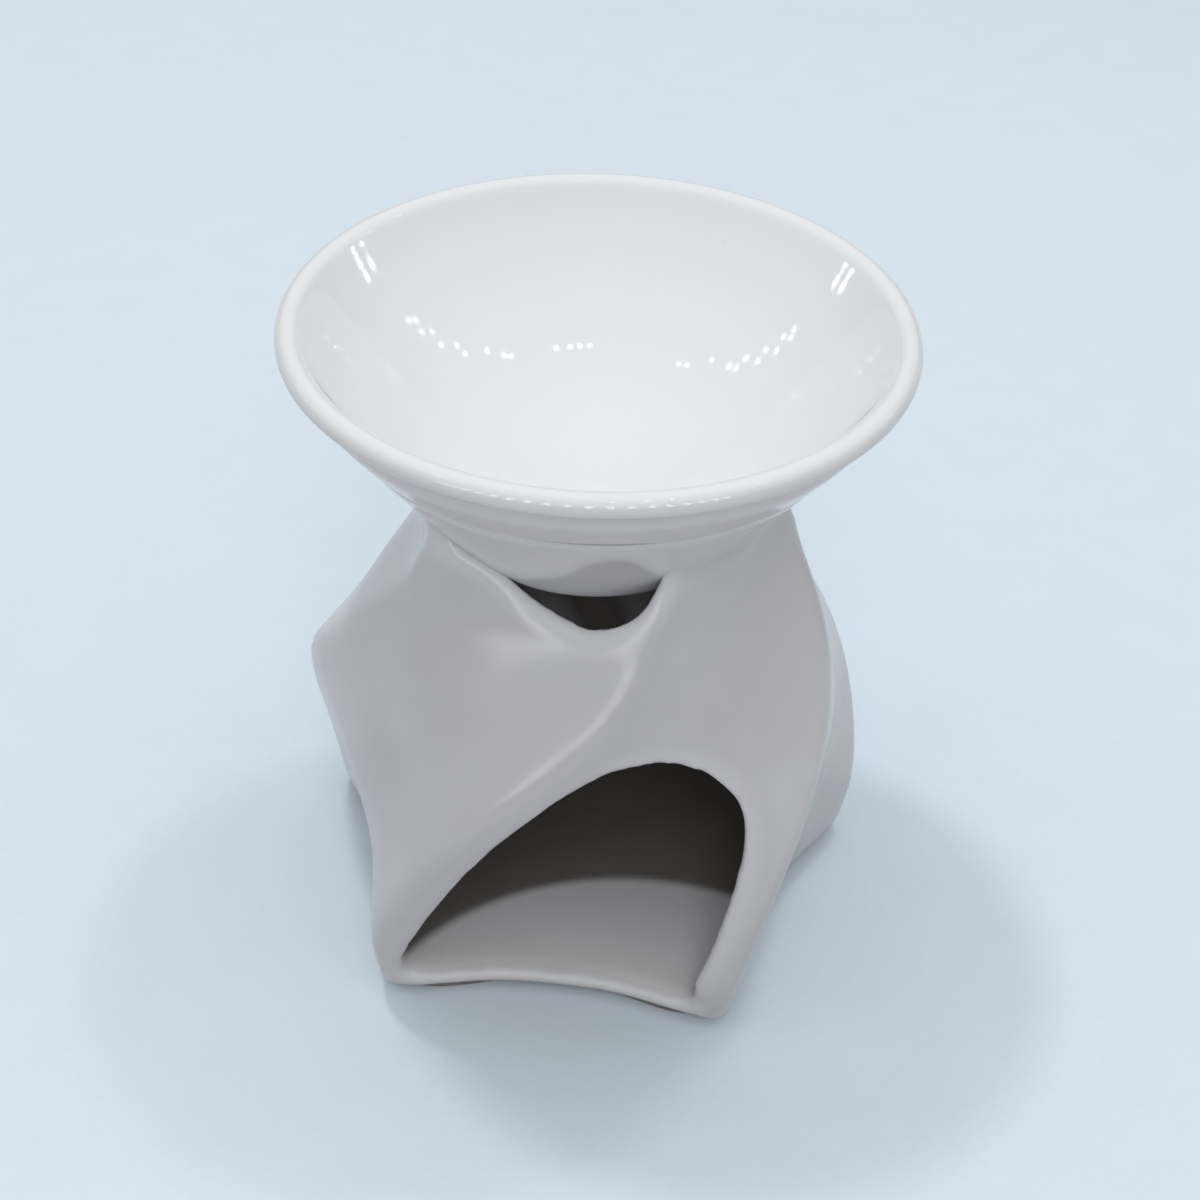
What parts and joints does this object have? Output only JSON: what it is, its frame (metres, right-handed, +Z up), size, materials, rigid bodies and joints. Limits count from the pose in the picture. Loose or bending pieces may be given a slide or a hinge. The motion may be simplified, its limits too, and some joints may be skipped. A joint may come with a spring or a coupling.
{
  "type": "wax melt burner",
  "caption": "Glazed ceramic wax melt burner: a round dish with a thick rolled lip on a twisted, ridged stand with an arched tealight mouth and air vents under the dish",
  "frame": {"origin": "the middle of the flat unglazed foot that the burner stands on, under the dish's axis", "axes": "+Z up along the dish's axis, the tealight mouth looks along -Y, +X to the right of the mouth"},
  "size_m": [0.11, 0.1114, 0.125],
  "materials": {
    "dish_glaze": "gloss white glaze",
    "stand_glaze": "gloss white glaze outside, dark matt inside the chamber",
    "floor_glaze": "gloss glaze on top, bare clay underneath",
    "slip": "fired slip under the glaze"
  },
  "bodies": {
    "root": {"wax_dish": "dish_glaze", "twisted_stand": "stand_glaze", "floor_plate": "floor_glaze", "front_slip_seam": "slip", "rear_slip_seam": "slip"}
  },
  "joints": []
}
